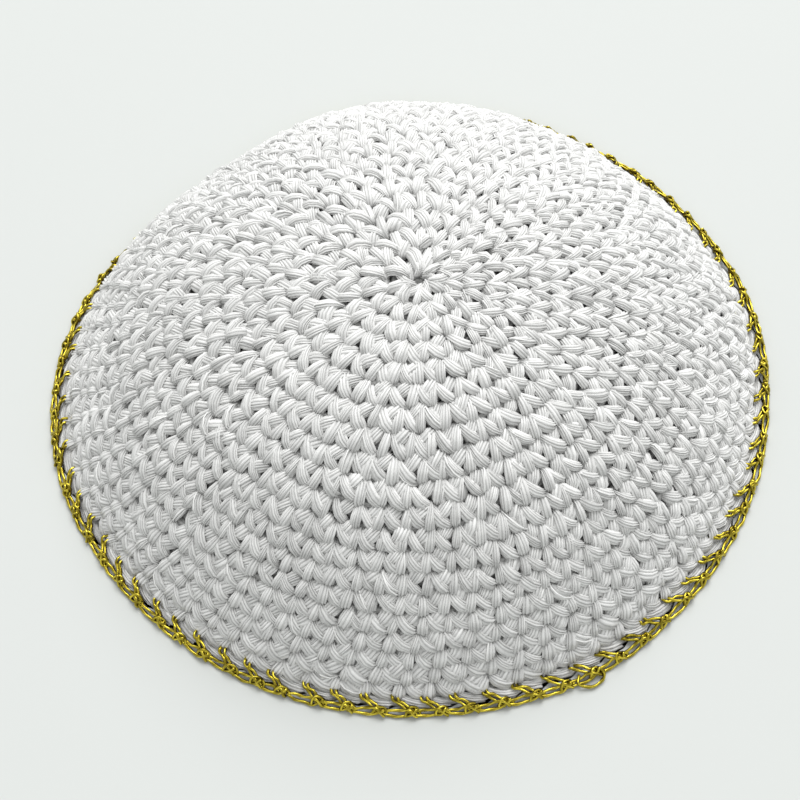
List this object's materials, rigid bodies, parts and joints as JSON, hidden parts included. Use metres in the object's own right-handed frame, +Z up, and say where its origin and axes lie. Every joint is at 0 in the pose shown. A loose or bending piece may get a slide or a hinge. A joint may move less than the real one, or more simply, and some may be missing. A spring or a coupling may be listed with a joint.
{
  "type": "crocheted kippah skullcap",
  "caption": "Shallow round crocheted skullcap with a hollow ribbed dome worked from the centre and a chained metallic thread edging.",
  "frame": {"origin": "centre of the cap's footprint, on the surface that the rim rests on", "axes": "+Z up through the dome, -Y towards the front of the picture's view, +X to its right"},
  "size_m": [0.17, 0.1668, 0.0402],
  "materials": {
    "cotton_yarn": "matte white crocheted cotton",
    "gold_thread": "shiny plied metallic thread"
  },
  "bodies": {
    "root": {"crown": "cotton_yarn", "edging": "gold_thread"}
  },
  "joints": []
}
